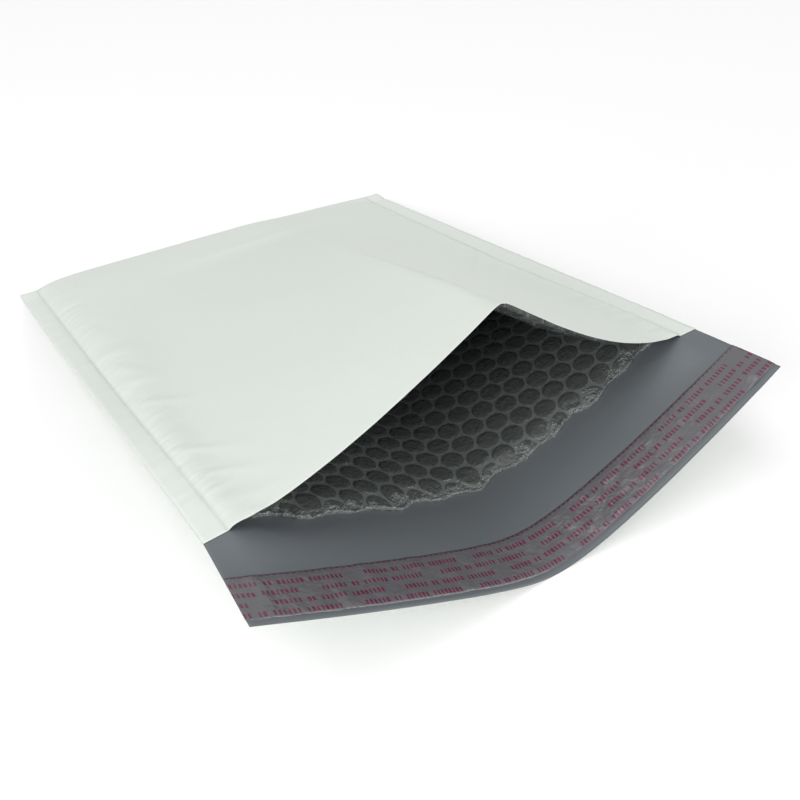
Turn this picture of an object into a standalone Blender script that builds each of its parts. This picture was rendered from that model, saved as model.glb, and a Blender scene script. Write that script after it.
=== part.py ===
"""Padded envelope: a folded film bag with a bubble lining, a flap and a peel-off strip.

The envelope lies on its back panel. The closed end is flat on the table at Y = 0, the
bag runs toward -Y and gapes there, and the open flap goes on beyond the mouth.
Metres, +Z up. The last lines centre the model on its own box.
"""
import math

import bmesh
import bpy
from mathutils import Vector
from mathutils.geometry import delaunay_2d_cdt

MM = 0.001

# flat sizes
WIDTH = 250 * MM          # across the bag, over the side seals
LENGTH = 300 * MM         # closed end to mouth
FLAP = 45.7 * MM          # flap beyond the mouth
SEAL = 10 * MM            # width of each side seal
FILM_T = 0.2 * MM         # outer film
SEAL_T = 0.6 * MM         # both films fused in a side seal
LINING_T = 3.6 * MM       # one leaf of the bubble lining
LINING_BACK = 9 * MM      # how far the lining's cut edge sits inside the mouth
LINING_CUT = 0.4          # share of its thickness left where the cut has crushed it
PITCH = 11.1 * MM         # bubble spacing
BUBBLE_D = 9.8 * MM       # bubble diameter
BUBBLE_RISE = 1.0 * MM    # how far a bubble stands off the lining's inner face
BUBBLE_FROM = 0.72        # bubbles are shaped from this share of the length to the mouth
TACK_FROM = 23.5 * MM     # adhesive strip: start and width beyond the mouth
TACK_W = 16 * MM
TACK_T = 0.3 * MM
LINER_FROM = 20.5 * MM    # release liner: start and width beyond the mouth
LINER_W = 22.2 * MM
LINER_T = 0.3 * MM
PRINT_ROWS = 4            # rows of short printed bars on the release liner
PRINT_FIRST = 0.24        # middle of the first row and of the last, as shares of its width
PRINT_LAST = 0.905
PRINT_BAR = 0.54          # a bar's height as a share of the rows' spacing
PRINT_PITCH = 9 * MM      # length of a bar with its space
GAP = 0.3 * MM            # clearance between neighbouring pieces

# the shape it has taken lying on a table
FLAT_END = 8 * MM         # flat strip at the closed end
FLAT_BLEND = 6 * MM
MOUTH_RISE = 42.2 * MM    # side seals above the table at the mouth
MOUTH_DRAW = 8.9 * MM     # how far each side seal has drawn in at the mouth
SEAL_LIFT = (5.0 * MM, 4.1 * MM)  # kink of the side seals at the gaping mouth
MOUTH_SHIFT = 1.8 * MM    # sideways drift of the whole bag from closed end to mouth
FLAP_SHIFT = 2.0 * MM     # and of the flap, back the other way
KEEL_X = 1.7 * MM         # where the back panel's keel meets the mouth
KEEL_SOFT = (0.135, 0.224)  # roundness of the keel, left and right
RIDGE_X = 12.6 * MM       # front panel's ridge at the mouth
RIDGE_RISE = 89.3 * MM
RIDGE_DRIFT = 37 * MM     # how far the ridge leans aside towards the closed end
RIDGE_FROM = 38 * MM      # the ridge starts here
RIDGE_SOFT = 3 * MM
FLANK_LEFT = 1.31         # how each flank of the front panel sags
FLANK_RIGHT = 1.59
PAD_T = 8.4 * MM          # thickness of the closed, padded bag
PAD_SOFT = 8 * MM         # how fast the padding fills out beside a seal
PAD_REAR = 9              # how many times slower at the closed end's right corner
PAD_FOLD = 0.6            # share of the thickness left at the folded end
FOLD_R = 3.6 * MM         # roundness of the folded end

SIDE_SHARES = (0.0, 0.014, 0.03, 0.065, 0.12, 0.22, 0.36, 0.52, 0.68, 0.81, 0.91, 0.965, 1.0)


def soft_max(p, q, k):
    return 0.5 * (p + q + math.sqrt((p - q) ** 2 + k * k))


def soft_min(p, q, k):
    return 0.5 * (p + q - math.sqrt((p - q) ** 2 + k * k))


def seam_height(s):
    """Height of the side seals at distance s from the closed end."""
    d = s - FLAT_END
    if d <= 0.0:
        return 0.0
    run = d * d / (2.0 * FLAT_BLEND) if d < FLAT_BLEND else d - FLAT_BLEND / 2.0
    return MOUTH_RISE * run / (LENGTH - FLAT_END - FLAT_BLEND / 2.0)


def half_chord(s):
    return WIDTH / 2.0 - MOUTH_DRAW * min(s / LENGTH, 1.0)


def seal_edge(s):
    """Distance from the centre line to a side seal's inner edge."""
    c = half_chord(s)
    return c * (1.0 - SEAL / (WIDTH / 2.0))


def keel(s):
    return KEEL_X * s / LENGTH


def ridge_x(s):
    """Cross position of the front panel's ridge."""
    return RIDGE_X + RIDGE_DRIFT * (1.0 - s / LENGTH)


def crest(s):
    """Where the front panel's columns crowd together: along the ridge, once it exists."""
    return ridge_x(s) * min(1.0, s / RIDGE_FROM)


def smooth_step(t):
    t = min(max(t, 0.0), 1.0)
    return t * t * (3.0 - 2.0 * t)


def seal_kink(s, x):
    """Lift of the side seals where the mouth pulls both panels apart."""
    t = max(half_chord(s) - abs(x), 0.0) / SEAL
    share = smooth_step(2.0 * s / LENGTH - 1.0)
    share *= 1.0 - smooth_step((s - LENGTH) / LINER_FROM)
    return SEAL_LIFT[0 if x < 0 else 1] * share * t * math.exp(1.0 - t)


def back_z(s, x):
    """Underside of the back panel: a soft V whose keel runs along the table."""
    c, k, h = half_chord(s), keel(s), seam_height(s)
    a = (k - x) / (c + k) if x < k else (x - k) / (c - k)
    e = KEEL_SOFT[0] if x < k else KEEL_SOFT[1]
    vee = h * (math.sqrt(a * a + e * e) - e) / (math.sqrt(1.0 + e * e) - e)
    return vee + seal_kink(s, x)


def pad(s, x):
    """Thickness of the closed bag at distance s from its end, at cross position x."""
    full = PAD_T * (1.0 - (1.0 - PAD_FOLD) * math.exp(-s / (14 * MM)))
    d = max(seal_edge(s) - abs(x), 0.0)
    rear = math.exp(-s / (30 * MM)) * smooth_step(x / (60 * MM))
    soft = PAD_SOFT * (1.0 + (PAD_REAR - 1.0) * rear)
    return SEAL_T + (full - SEAL_T) * (1.0 - math.exp(-d / soft))


def front_z(s, x):
    """Top of the front panel: flat padding near the closed end, a ridge at the mouth."""
    w = seal_edge(s)
    d = w - abs(x)
    low = back_z(s, x)
    if d <= 0.0:
        return low + SEAL_T
    slope = (RIDGE_RISE - PAD_T) / (LENGTH - RIDGE_FROM)
    top = RIDGE_RISE - slope * (LENGTH - s)
    rx = ridge_x(s)
    zl, zr = back_z(s, -w) + SEAL_T, back_z(s, w) + SEAL_T
    left = zl + (top - zl) * ((x + w) / (rx + w)) ** FLANK_LEFT
    right = zr + (top - zr) * ((w - x) / (w - rx)) ** FLANK_RIGHT
    soft = RIDGE_SOFT * min(1.0, max(top - zl, 0.0) / (20 * MM))
    tent = soft_min(left, right, soft)
    ease = 3 * MM * (1.0 - math.exp(-d / (12 * MM)))
    return soft_max(low + pad(s, x), tent, ease)


def lean(surface, s, x):
    """How much longer a step through the sheet is straight up than square to it."""
    e = 1 * MM
    zx = (surface(s, x + e) - surface(s, x - e)) / (2 * e)
    zs = (surface(s + e, x) - surface(max(s - e, 0.0), x)) / (2 * e)
    return min(math.sqrt(1.0 + zx * zx + zs * zs), 1.35)


def fold_share(s, inset):
    """Share of the full height at distance s from the folded end."""
    if s >= FOLD_R:
        return 1.0
    q = (FOLD_R - s) / (FOLD_R - inset)
    return math.sqrt(max(1.0 - q * q, 0.0))


def place(s, x, rise, z):
    """A point at length s along a panel that has climbed by rise over that length."""
    rise = min(max(rise, 0.0), 0.6 * s)
    shift = MOUTH_SHIFT * min(s / LENGTH, 1.0) - FLAP_SHIFT * max(s - LENGTH, 0.0) / FLAP
    return Vector((x + shift, -math.sqrt(s * s - rise * rise), z))


def bag_point(front, s, x, inset):
    """A point of the bag, inset squarely from the outer film's outer face."""
    low, high = back_z(s, x), front_z(s, x)
    mid = 0.5 * (low + high)
    room = 0.5 * (high - low)
    share = fold_share(s, min(inset, FOLD_R * 0.9))
    if front:
        z = mid + (room - inset * lean(front_z, s, x)) * share
        rise = high - pad(s, x)
    else:
        z = mid - (room - inset * lean(back_z, s, x)) * share
        rise = low
    return place(s, x, rise, z)


def leaf_inset(s, x, full):
    """Inset of the lining's inner face: the leaf thins where the bag has no room."""
    room = front_z(s, x) - back_z(s, x) - 2.0 * (FILM_T + GAP)
    crushed = smooth_step((cut_edge(x) - s) / (4 * MM))
    full *= LINING_CUT + (1.0 - LINING_CUT) * crushed
    leaf = soft_min(full, 0.42 * max(room, 0.0), 0.3 * MM)
    return FILM_T + GAP + max(leaf, 0.05 * MM)


def columns(s, centre, skip):
    """Cross positions from left to right between the seals, dense at the centre."""
    w = seal_edge(s)
    left = [-w + (centre + w) * f for f in SIDE_SHARES[skip:]]
    right = [w - (w - centre) * f for f in SIDE_SHARES[skip:]]
    return left + right[-2::-1]


def stations(first, last):
    """Distances from the closed end: close at the fold and where the ridge starts."""
    base = [f * FOLD_R for f in (0.03, 0.15, 0.45)]
    base += [FOLD_R, FLAT_END, FLAT_END + FLAT_BLEND * 0.5, FLAT_END + FLAT_BLEND]
    base += [RIDGE_FROM + t * MM for t in (-12, 3, 18, 33, 53)]
    steps = 6
    base += [base[-1] + (LENGTH - base[-1]) * (i + 1) / steps for i in range(steps)]
    cut = LENGTH - LINING_BACK
    out = [first + s for s in base[:3]] + [s for s in base[3:] if s < cut - 10 * MM]
    out += [cut - 7 * MM, cut - 3 * MM, cut]
    return out + ([last] if last > cut else [])


def new_object(name, bm, collection, materials):
    bmesh.ops.remove_doubles(bm, verts=bm.verts, dist=0.00001)
    bmesh.ops.recalc_face_normals(bm, faces=bm.faces)
    mesh = bpy.data.meshes.new(name)
    bm.to_mesh(mesh)
    bm.free()
    for material in materials:
        mesh.materials.append(material)
    obj = bpy.data.objects.new(name, mesh)
    collection.objects.link(obj)
    mesh.shade_smooth()
    mesh.set_sharp_from_angle(angle=math.radians(40))
    return obj


def strip(bm, row_a, row_b, slot=0):
    """A band of quads between two rows of vertices; shared ends give triangles."""
    for a, b, c, d in zip(row_a, row_a[1:], row_b[1:], row_b):
        ring = []
        for v in (a, b, c, d):
            if v not in ring:
                ring.append(v)
        if len(ring) > 2:
            face = bm.faces.new(ring)
            face.material_index = slot


def row_of(bm, front, s, xs, inset_at, edge):
    row = []
    for x in xs:
        at = edge(x) if edge else s
        row.append(bm.verts.new(bag_point(front, at, x, inset_at(at, x))))
    return row


def bag_rows(bm, rows, skip, inset_at, pinch, edge=None):
    """Rows of the back and the front panel; with pinch, both share their end points.

    edge gives the last row's distance from the closed end as a function of x.
    """
    back, front = [], []
    for s in rows:
        last = edge if s == rows[-1] else None
        b = row_of(bm, False, s, columns(s, keel(s), skip), inset_at, last)
        f = row_of(bm, True, s, columns(s, crest(s), skip), inset_at, last)
        if pinch:
            for i in (0, -1):
                b[i].co = 0.5 * (b[i].co + f[i].co)
                bm.verts.remove(f[i])
                f[i] = b[i]
        back.append(b)
        front.append(f)
    return back, front


def make_film(collection, materials):
    """One film, folded at the closed end, fused along both sides, with its flap."""
    bm = bmesh.new()
    rows = stations(0.0, LENGTH)
    back, front = bag_rows(bm, rows, 0, lambda s, x: 0.0, False)
    for side_rows in (back, front):
        lift = SEAL_T if side_rows is front else 0.0
        for s, row in zip(rows, side_rows):
            c = half_chord(s)
            for i, x in ((0, -c), (len(row), c)):
                low = back_z(s, x)
                v = bm.verts.new(place(s, x, low, low + lift))
                row.insert(0 if i == 0 else len(row), v)
    inset = [s + FILM_T if i < 3 else s for i, s in enumerate(rows)]
    ib, it = bag_rows(bm, inset, 0, lambda s, x: FILM_T, True)
    for side_rows in (back, front):
        for a, b in zip(side_rows, side_rows[1:]):
            strip(bm, a, b)
    for side_rows in (ib, it):
        for a, b in zip(side_rows, side_rows[1:]):
            strip(bm, a, b, 1)
    strip(bm, back[0], front[0])
    strip(bm, ib[0], it[0], 1)
    # the flap: the back film runs on beyond the mouth
    top = []
    flap_rows = [LINER_FROM * t for t in (0.0, 0.3, 0.6, 1.0)] + [LINER_FROM + LINER_W, FLAP]
    for i, s in enumerate([LENGTH + d for d in flap_rows]):
        c = half_chord(s)
        xs = [-c] + columns(s, keel(s), 0) + [c]
        low_row, top_row = [], []
        for x in xs:
            low = back_z(s, x)
            high = low + FILM_T * lean(back_z, s, x)
            low_row.append(bm.verts.new(place(s, x, low, low)) if i else None)
            top_row.append(bm.verts.new(place(s, x, low, high)))
        if i == 0:
            low_row = back[-1]
            for v in top_row[1:-1]:
                bm.verts.remove(v)
            top_row = [top_row[0]] + ib[-1] + [top_row[-1]]
        top.append((low_row, top_row))
    for (la, ta), (lb, tb) in zip(top, top[1:]):
        strip(bm, la, lb)
        strip(bm, ta, tb, 1)
        strip(bm, [la[0], lb[0]], [ta[0], tb[0]])
        strip(bm, [la[-1], lb[-1]], [ta[-1], tb[-1]])
    strip(bm, top[-1][0], top[-1][1])
    # the front panel's lip
    mouth = top[0][1]
    strip(bm, front[-1], [mouth[0]] + it[-1] + [mouth[-1]])
    # the cut side edges
    for k in (0, -1):
        col_b = [r[k] for r in back]
        col_f = [r[k] for r in front]
        strip(bm, col_b[:-1], col_f[:-1])
        bm.faces.new([col_b[-2], col_b[-1], mouth[k], col_f[-1], col_f[-2]])
    return new_object("outer_film", bm, collection, materials)


def arc_table(s):
    """Distance along the back panel's section from its keel, to either side."""
    c, k = half_chord(s), keel(s)
    table = {}
    for sign, span in ((-1, c + k), (1, c - k)):
        run, pts = 0.0, [(0.0, k)]
        px, pz = k, back_z(s, k)
        for i in range(1, 41):
            x = k + sign * span * i / 40.0
            z = back_z(s, x)
            run += math.hypot(x - px, z - pz)
            pts.append((run, x))
            px, pz = x, z
        table[sign] = pts
    return table


def across(table, u):
    """Cross position of a point u along the section from the keel."""
    pts = table[-1 if u < 0 else 1]
    u = abs(u)
    for (a, xa), (b, xb) in zip(pts, pts[1:]):
        if u <= b:
            return xa + (xb - xa) * (u - a) / (b - a)
    return pts[-1][1]


def cut_edge(x):
    """Distance of the lining's ragged cut edge from the closed end."""
    t = x / PITCH
    wave = 0.6 * math.sin(3.3 * t + 0.4) + 0.5 * math.sin(1.9 * t + 2.0)
    return LENGTH - LINING_BACK + wave * 1.6 * MM


def bubble_centres():
    """Hexagonal lattice: touching rows run along the bag, columns sit half a pitch off."""
    step = PITCH * math.sqrt(3.0) / 2.0
    count = int(WIDTH / 2.0 / step)
    first = LENGTH * BUBBLE_FROM
    radius = BUBBLE_D / 2.0
    for i in range(-count, count + 1):
        s = LENGTH - LINING_BACK - 0.9 * PITCH - (i % 2) * PITCH / 2.0
        while s > first:
            table = arc_table(s)
            x = across(table, i * step)
            room = front_z(s, x) - back_z(s, x) - 2.0 * leaf_inset(s, x, LINING_T)
            inside = seal_edge(s) - abs(x) > radius + 7 * MM
            if inside and room > BUBBLE_RISE * 3.0 and s + radius < cut_edge(x) - 3 * MM:
                yield i * step, s
            s -= PITCH


def make_lining(collection, materials):
    """One bubble sheet folded with the film: two leaves, fused beside the side seals."""
    bm = bmesh.new()
    first = FILM_T + GAP
    rows = stations(first, LENGTH - LINING_BACK)

    def outer(s, x):
        return FILM_T + GAP

    def inner(s, x):
        return leaf_inset(s, x, LINING_T)

    back, front = bag_rows(bm, rows, 1, outer, False, cut_edge)
    end = [first + LINING_T * 0.75 + d for d in (0.0, 0.4 * MM, 1.2 * MM)]
    inner_rows = end + [s for s in rows if s > end[-1] + 2 * MM]
    ib, it = bag_rows(bm, inner_rows, 2, inner, True, cut_edge)
    for side_rows in (back, front):
        for a, b in zip(side_rows, side_rows[1:]):
            strip(bm, a, b)
    for a, b in zip(it, it[1:]):
        strip(bm, a, b)
    strip(bm, back[0], front[0])
    strip(bm, ib[0], it[0])
    for k in (0, -1):
        strip(bm, [r[k] for r in back], [r[k] for r in front])
    # lips of both leaves at the cut edge; the leaves part where the inner face starts
    strip(bm, back[-1][1:-1], ib[-1])
    strip(bm, front[-1][1:-1], it[-1])
    for k, n in ((0, 1), (-1, -2)):
        b, f = back[-1], front[-1]
        bm.faces.new([b[k], b[n], ib[-1][k], f[n], f[k]])
    # plain part of the back leaf's inner face
    plain = [i for i, s in enumerate(inner_rows) if s < LENGTH * BUBBLE_FROM - PITCH]
    last = plain[-1]
    for a, b in zip(ib[:last + 1], ib[1:last + 1]):
        strip(bm, a, b)
    # bubbled part, triangulated on the flat sheet between its four edges
    loop = list(ib[last])
    loop += [r[-1] for r in ib[last + 1:]]
    loop += list(reversed(ib[-1][:-1]))
    loop += [r[0] for r in reversed(ib[last + 1:-1])]
    for row in ib[last + 1:-1]:
        for v in row[1:-1]:
            bm.verts.remove(v)
    flat = [Vector((v.co.x, v.co.y)) for v in loop]
    verts = list(loop)
    edges = [(i, (i + 1) % len(loop)) for i in range(len(loop))]
    discs = []
    sides = 8
    for u, s in bubble_centres():
        table = arc_table(s)
        rings = []
        for r, rise in ((BUBBLE_D / 2.0, 0.0), (BUBBLE_D * 0.36, BUBBLE_RISE)):
            ring = []
            for n in range(sides):
                t = 2.0 * math.pi * (n + 0.5) / sides
                x = across(table, u + r * math.cos(t))
                v = s + r * math.sin(t)
                ring.append(bm.verts.new(bag_point(False, v, x, inner(v, x) + rise)))
            rings.append(ring)
        base, crown = rings
        centre = sum((v.co for v in base), Vector()) / sides
        discs.append((centre.x, centre.y))
        n0 = len(verts)
        verts += base
        flat += [Vector((v.co.x, v.co.y)) for v in base]
        edges += [(n0 + n, n0 + (n + 1) % sides) for n in range(sides)]
        for n in range(sides):
            m = (n + 1) % sides
            bm.faces.new([base[n], base[m], crown[m], crown[n]])
        bm.faces.new(crown)
    # the sheet between the bubbles and along the cut edge
    for s in inner_rows[last + 1:-1]:
        for x in columns(s, keel(s), 3):
            at = min(s, cut_edge(x) - 4 * MM) if s > LENGTH - LINING_BACK - 5 * MM else s
            co = bag_point(False, at, x, inner(at, x))
            near = min((math.hypot(co.x - a, co.y - b) for a, b in discs), default=1.0)
            if near > BUBBLE_D * 0.5 + 0.8 * MM:
                verts.append(bm.verts.new(co))
                flat.append(Vector((co.x, co.y)))
    ring = list(range(len(loop)))
    out = delaunay_2d_cdt(flat, edges, [ring], 1, 1e-7)
    for tri in out[2]:
        ids = [out[3][i][0] for i in tri]
        mid = sum((flat[i] for i in ids), Vector((0.0, 0.0))) / 3.0
        if any(math.hypot(mid.x - a, mid.y - b) < BUBBLE_D * 0.44 for a, b in discs):
            continue
        bm.faces.new([verts[i] for i in ids])
    return new_object("bubble_lining", bm, collection, materials)


def band_columns(s, margin, shares):
    c = half_chord(s) - margin
    if shares:
        return [-c + 2.0 * c * f for f in shares]
    return [-c] + [x for x in columns(s, keel(s), 0) if abs(x) < c - 1 * MM] + [c]


def make_band(name, start, width, base, thickness, margin, collection, materials, printed=0):
    """A band lying across the flap's inner face, base above the film's underside.

    Printed rows get the second material on short bars, three bars and then a space.
    """
    bm = bmesh.new()
    rows, shares = [], []
    cuts = [0.0, 0.5, 1.0]
    if printed:
        row = (PRINT_LAST - PRINT_FIRST) / (printed - 1)
        cuts = [0.0, 1.0]
        for i in range(printed):
            low = PRINT_FIRST + row * (i - PRINT_BAR / 2.0)
            cuts += [low, low + row * PRINT_BAR]
        cuts.sort()
        count = max(8, round(WIDTH / PRINT_PITCH))
        shares = [0.0] + [(i + 0.5) / count for i in range(count)] + [1.0]
    for t in cuts:
        s = LENGTH + start + width * t
        rows.append([])
        for x in band_columns(s, margin, shares):
            low = back_z(s, x)
            z = low + base * lean(back_z, s, x)
            rows[-1].append(bm.verts.new(place(s, x, low, z)))
    for a, b in zip(rows, rows[1:]):
        strip(bm, a, b)
    bm.faces.ensure_lookup_table()
    wide = len(rows[0]) - 1
    for face in bm.faces:
        band, column = divmod(face.index, wide)
        if printed and band % 2 == 1 and (column + band) % 4:
            face.material_index = 1
    bmesh.ops.recalc_face_normals(bm, faces=bm.faces)
    for face in bm.faces[:1]:
        face.normal_update()
        if face.normal.z < 0:
            bmesh.ops.reverse_faces(bm, faces=bm.faces)
    mesh = bpy.data.meshes.new(name)
    bm.to_mesh(mesh)
    bm.free()
    for material in materials:
        mesh.materials.append(material)
    mesh.shade_smooth()
    obj = bpy.data.objects.new(name, mesh)
    collection.objects.link(obj)
    shell = obj.modifiers.new("thickness", "SOLIDIFY")
    shell.thickness = thickness
    shell.offset = 1.0
    return obj


def plastic(name, colour, roughness):
    material = bpy.data.materials.new(name)
    material.use_nodes = True
    node = material.node_tree.nodes["Principled BSDF"]
    node.inputs["Base Color"].default_value = (*colour, 1.0)
    node.inputs["Roughness"].default_value = roughness
    node.inputs["Metallic"].default_value = 0.0
    material.diffuse_color = (*colour, 1.0)
    return material


def main():
    for obj in list(bpy.data.objects):
        bpy.data.objects.remove(obj, do_unlink=True)
    collection = bpy.data.collections.new("padded_envelope")
    bpy.context.scene.collection.children.link(collection)
    white = plastic("white_film", (0.72, 0.77, 0.72), 0.38)
    grey = plastic("grey_film_inside", (0.13, 0.135, 0.14), 0.42)
    dark = plastic("dark_bubble_film", (0.022, 0.023, 0.022), 0.3)
    tack = plastic("clear_adhesive", (0.10, 0.10, 0.10), 0.25)
    liner = plastic("release_liner_film", (0.125, 0.12, 0.13), 0.35)
    print_ink = plastic("magenta_print", (0.10, 0.006, 0.045), 0.4)
    pieces = [
        make_film(collection, [white, grey]),
        make_lining(collection, [dark]),
        make_band("adhesive_strip", TACK_FROM, TACK_W, FILM_T + GAP, TACK_T, SEAL,
                  collection, [tack]),
        make_band("release_liner", LINER_FROM, LINER_W,
                  FILM_T + GAP + TACK_T + GAP, LINER_T, 0.5 * MM, collection,
                  [liner, print_ink], PRINT_ROWS),
    ]
    low = [min(v.co[i] for v in pieces[0].data.vertices) for i in range(3)]
    high = [max(v.co[i] for v in pieces[0].data.vertices) for i in range(3)]
    shift = Vector((-(low[0] + high[0]) / 2.0, -(low[1] + high[1]) / 2.0, -low[2]))
    for piece in pieces:
        piece.location = shift


main()
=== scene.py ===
"""Padded envelope: film bag, bubble lining, flap, adhesive and printed release liner."""

import math

import bmesh
import bpy
from mathutils import Matrix, Vector, noise


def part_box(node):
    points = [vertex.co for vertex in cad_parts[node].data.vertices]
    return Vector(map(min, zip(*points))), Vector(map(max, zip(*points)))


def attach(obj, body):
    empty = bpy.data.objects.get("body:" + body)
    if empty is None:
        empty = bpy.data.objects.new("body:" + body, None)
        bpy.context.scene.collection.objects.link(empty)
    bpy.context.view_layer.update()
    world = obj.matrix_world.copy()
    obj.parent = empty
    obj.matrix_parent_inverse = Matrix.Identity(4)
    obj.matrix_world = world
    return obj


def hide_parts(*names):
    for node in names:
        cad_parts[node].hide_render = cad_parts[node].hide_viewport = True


bl_info = {
    "name": "Padded Envelope",
    "version": (1, 0, 0),
    "blender": (4, 5, 0),
    "location": "View3D > Sidebar > Envelope",
    "description": "Builds an open padded envelope with its bubble lining and printed flap",
    "category": "Add Mesh",
}

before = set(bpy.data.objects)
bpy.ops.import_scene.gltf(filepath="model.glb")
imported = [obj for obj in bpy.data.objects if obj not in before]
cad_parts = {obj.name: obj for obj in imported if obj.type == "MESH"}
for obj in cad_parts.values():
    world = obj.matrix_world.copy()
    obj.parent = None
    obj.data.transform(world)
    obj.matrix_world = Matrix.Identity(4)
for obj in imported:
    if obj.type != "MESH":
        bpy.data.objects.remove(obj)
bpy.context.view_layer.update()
MM = 0.001
END_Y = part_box("outer_film")[1][1] + 0.1 * MM   # the closed end, on the row's Y axis

# the flat film: from the closed end over one panel to the mouth, and on to the flap's edge
WIDTH = 250 * MM
LENGTH = 300 * MM
FLAP = 45.7 * MM
SEAL = 10 * MM            # width of each side seal
SEAL_T = 0.46 * MM        # thickness of a seal, both panels pressed together
FILM_ROOM = 0.2 * MM      # room that the lining leaves for the film

# the bubble lining
LINING_T = 3.6 * MM       # thickness of one leaf
LINING_FROM = 3.3 * MM    # from the closed end to the lining's own fold
LINING_BACK = 9 * MM      # from its cut edge to the mouth
LINING_CUT = 0.4          # share of its thickness left at the cut edge
GAP = 0.05 * MM           # air between film and lining
PITCH = 11.1 * MM         # spacing of the bubbles

# the bands on the flap: distance from the mouth, and width
LINER_FROM, LINER_W = 20.5 * MM, 22.2 * MM
TACK_FROM, TACK_W = 23.5 * MM, 16 * MM

# the back panel's shape on the table
FLAT_END = 8 * MM         # strip at the closed end that lies flat
FLAT_BLEND = 6 * MM       # length over which the climb to the mouth sets in
MOUTH_RISE = 42.2 * MM    # height of the side seals at the mouth
MOUTH_DRAW = 8.9 * MM     # how far each side is drawn in at the mouth
MOUTH_SHIFT = 1.8 * MM    # sideways shift of the mouth, and of the flap the other way
FLAP_SHIFT = 2 * MM
KEEL_X = 1.7 * MM         # the keel's cross position at the mouth
KEEL_SOFT = (0.135, 0.224)           # roundness of the keel, left and right
SEAL_LIFT = (5.0 * MM, 4.1 * MM)     # lift of the seals by the mouth, left and right

# the front panel's tent
RIDGE_X = 12.6 * MM       # the ridge's cross position at the mouth
RIDGE_DRIFT = 37 * MM     # how far it lies to the right of that at the closed end
RIDGE_RISE = 89.3 * MM    # its height at the mouth
RIDGE_FROM = 38 * MM      # where it leaves the padding
RIDGE_SOFT = 3 * MM       # roundness at the lip
RIDGE_SHARP = 0.35        # share of that roundness left away from the lip
RIDGE_LOW = 20 * MM       # height over the seals below which it is sharper still
LIP_FROM, LIP_RUN = 250 * MM, 45 * MM        # where it rounds off, and over what length
FLANK_LEFT, FLANK_RIGHT = 1.31, 1.59         # how hollow the flanks are: 1 is straight
TENT_EASE, TENT_EASE_RUN = 3 * MM, 12 * MM   # soft change from padding to tent, off a seal

# the padding of the closed part, and the round fold at its end
PAD_T = 8.4 * MM
PAD_SOFT = 8 * MM         # how softly it rises beside a seal
PAD_FOLD = 0.6            # share of its thickness at the fold
PAD_FOLD_RUN = 14 * MM
PAD_REAR = 9              # how many times softer the rear right corner is
PAD_REAR_LONG, PAD_REAR_WIDE = 30 * MM, 60 * MM
FOLD_R = 3.6 * MM
FOLD_INNER = 0.9          # the deepest inset at the fold, as a share of its radius
FOLD_TAKE, FOLD_RUN = 4 * MM, 30 * MM   # film that the fold takes up, and over what length
STEEPEST = 0.6            # the most that the film rises for each length along it

# tables of cross positions at even lengths along a section
TABLE_STEP, TABLE_N, TABLE_CUTS = 4 * MM, 60, 160
tables = {}

# puckers beside a seal in mm: plain value, more at the rear, more at the mouth
PUCKER_REACH = (9.0, 4.0, 3.0)
PUCKER_SPACING = (6.5, -1.3, 0.0)
PUCKER_HIGH = (0.5, 0.15, 0.2)
PUCKER_START = 0.35       # share of their height at the seal's edge
PUCKER_SLANT = 0.35       # how far they lean along the bag
BACK_RELIEF = 0.6         # share of the relief that the back panel keeps

# the film's grid: closer beside the seals and on the front panel
FILM_ACROSS, FILM_ALONG = 112, 430
FRONT_ROWS = 0.6          # share of the rows on the front panel
CROWDING = 1.2

# the lining's cut edge
CUT_RUN = 12 * MM         # length over which the lining thins to its cut edge
CUT_WAVE = 1.6 * MM       # how far the cut edge wanders
CUT_FRAY = 0.9 * MM       # fine unevenness of the cut edge
CRUSH = 0.9 * MM          # crumpling beside the cut edge
FRONT_MORE, FRONT_RUN = 5.5 * MM, 45 * MM   # the front leaf's reach towards the lip

# one bubble: rings as shares of its radius and of its rise
BUBBLE_RINGS = ((1.0, 0.0), (0.94, 0.5), (0.82, 0.85), (0.45, 0.98))
BUBBLE_SIDES = 12
BUBBLE_DISC = 0.965       # share of the radius inside which the bubble is darker
BUBBLE_DARK = 0.56
BUBBLE_FLAT = 0.75        # share of a bubble's rise lost at the cut edge

# marks on the film, in shares of its width; the pressed line is darkened with painted shade
LINE_FADE = 190.0         # the pressed line fades out at 1 / 190 of the width
FOLDS_FADE = 17.0
STRIP_FROM = 0.003        # from the pressed line to the paler strip
# tint of the paler strip, and the painted shade darkening the pressed line's groove
STRIP_SHADE, PAINTED_GROOVE_SHADE = 1.06, 0.84

# the liner's print, in mm on the flat liner
ROW_FROM, ROW_STEP, ROW_COUNT = 2.75, 5.0, 4
ROW_HALF = 0.22           # half the height of a block, as a share of the row
ROW_OFFSET = 19.0         # each row starts this much further on
ROW_SEED = 71.0           # sets the chance of one row apart from the next
BLOCK_STEP = 1.66
BLOCK_HALF, BLOCK_MORE = 0.2, 0.16   # half width of a block, and what chance adds
PHRASE = 30               # blocks before the words come round again
FIRST_WORD = 6            # blocks in the first word, then where words start (1) and end (0)
WORD_ENDS = ((7, 1), (9, 0), (10, 1), (16, 0), (17, 1), (25, 0))
DOT_LINE, DOT_HALF, DOT_STEP = 0.9, 0.3, 2.4   # the dotted line, half its width, its spacing
DOT_SHARE = 0.6           # length of a dot as a share of the spacing

# name, kind, place, size (metres, or degrees for a sun) and level of each lamp
LAMPS = (
    ("left_lamp", "AREA", (-0.9, -0.55, 0.45), 0.5, 0.4),
    ("top_lamp", "SUN", (-0.35, 0.12, 1.0), 40.0, 0.24),
    ("right_lamp", "SUN", (1.0, -0.7, 0.5), 30.0, 0.27),
)
WORLD_LEVEL = 0.62
FLOOR_HALF = 4.0

# the camera, as fitted to the photo: place, turns in degrees and lens
CAMERA_AT = (-0.15376, -0.32714, 0.24817)
CAMERA_TURNS = (30.17, 37.32, 2.62)
CAMERA_LENS, CAMERA_SENSOR, CAMERA_CLIP = 37.683, 36.0, 0.01


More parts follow.
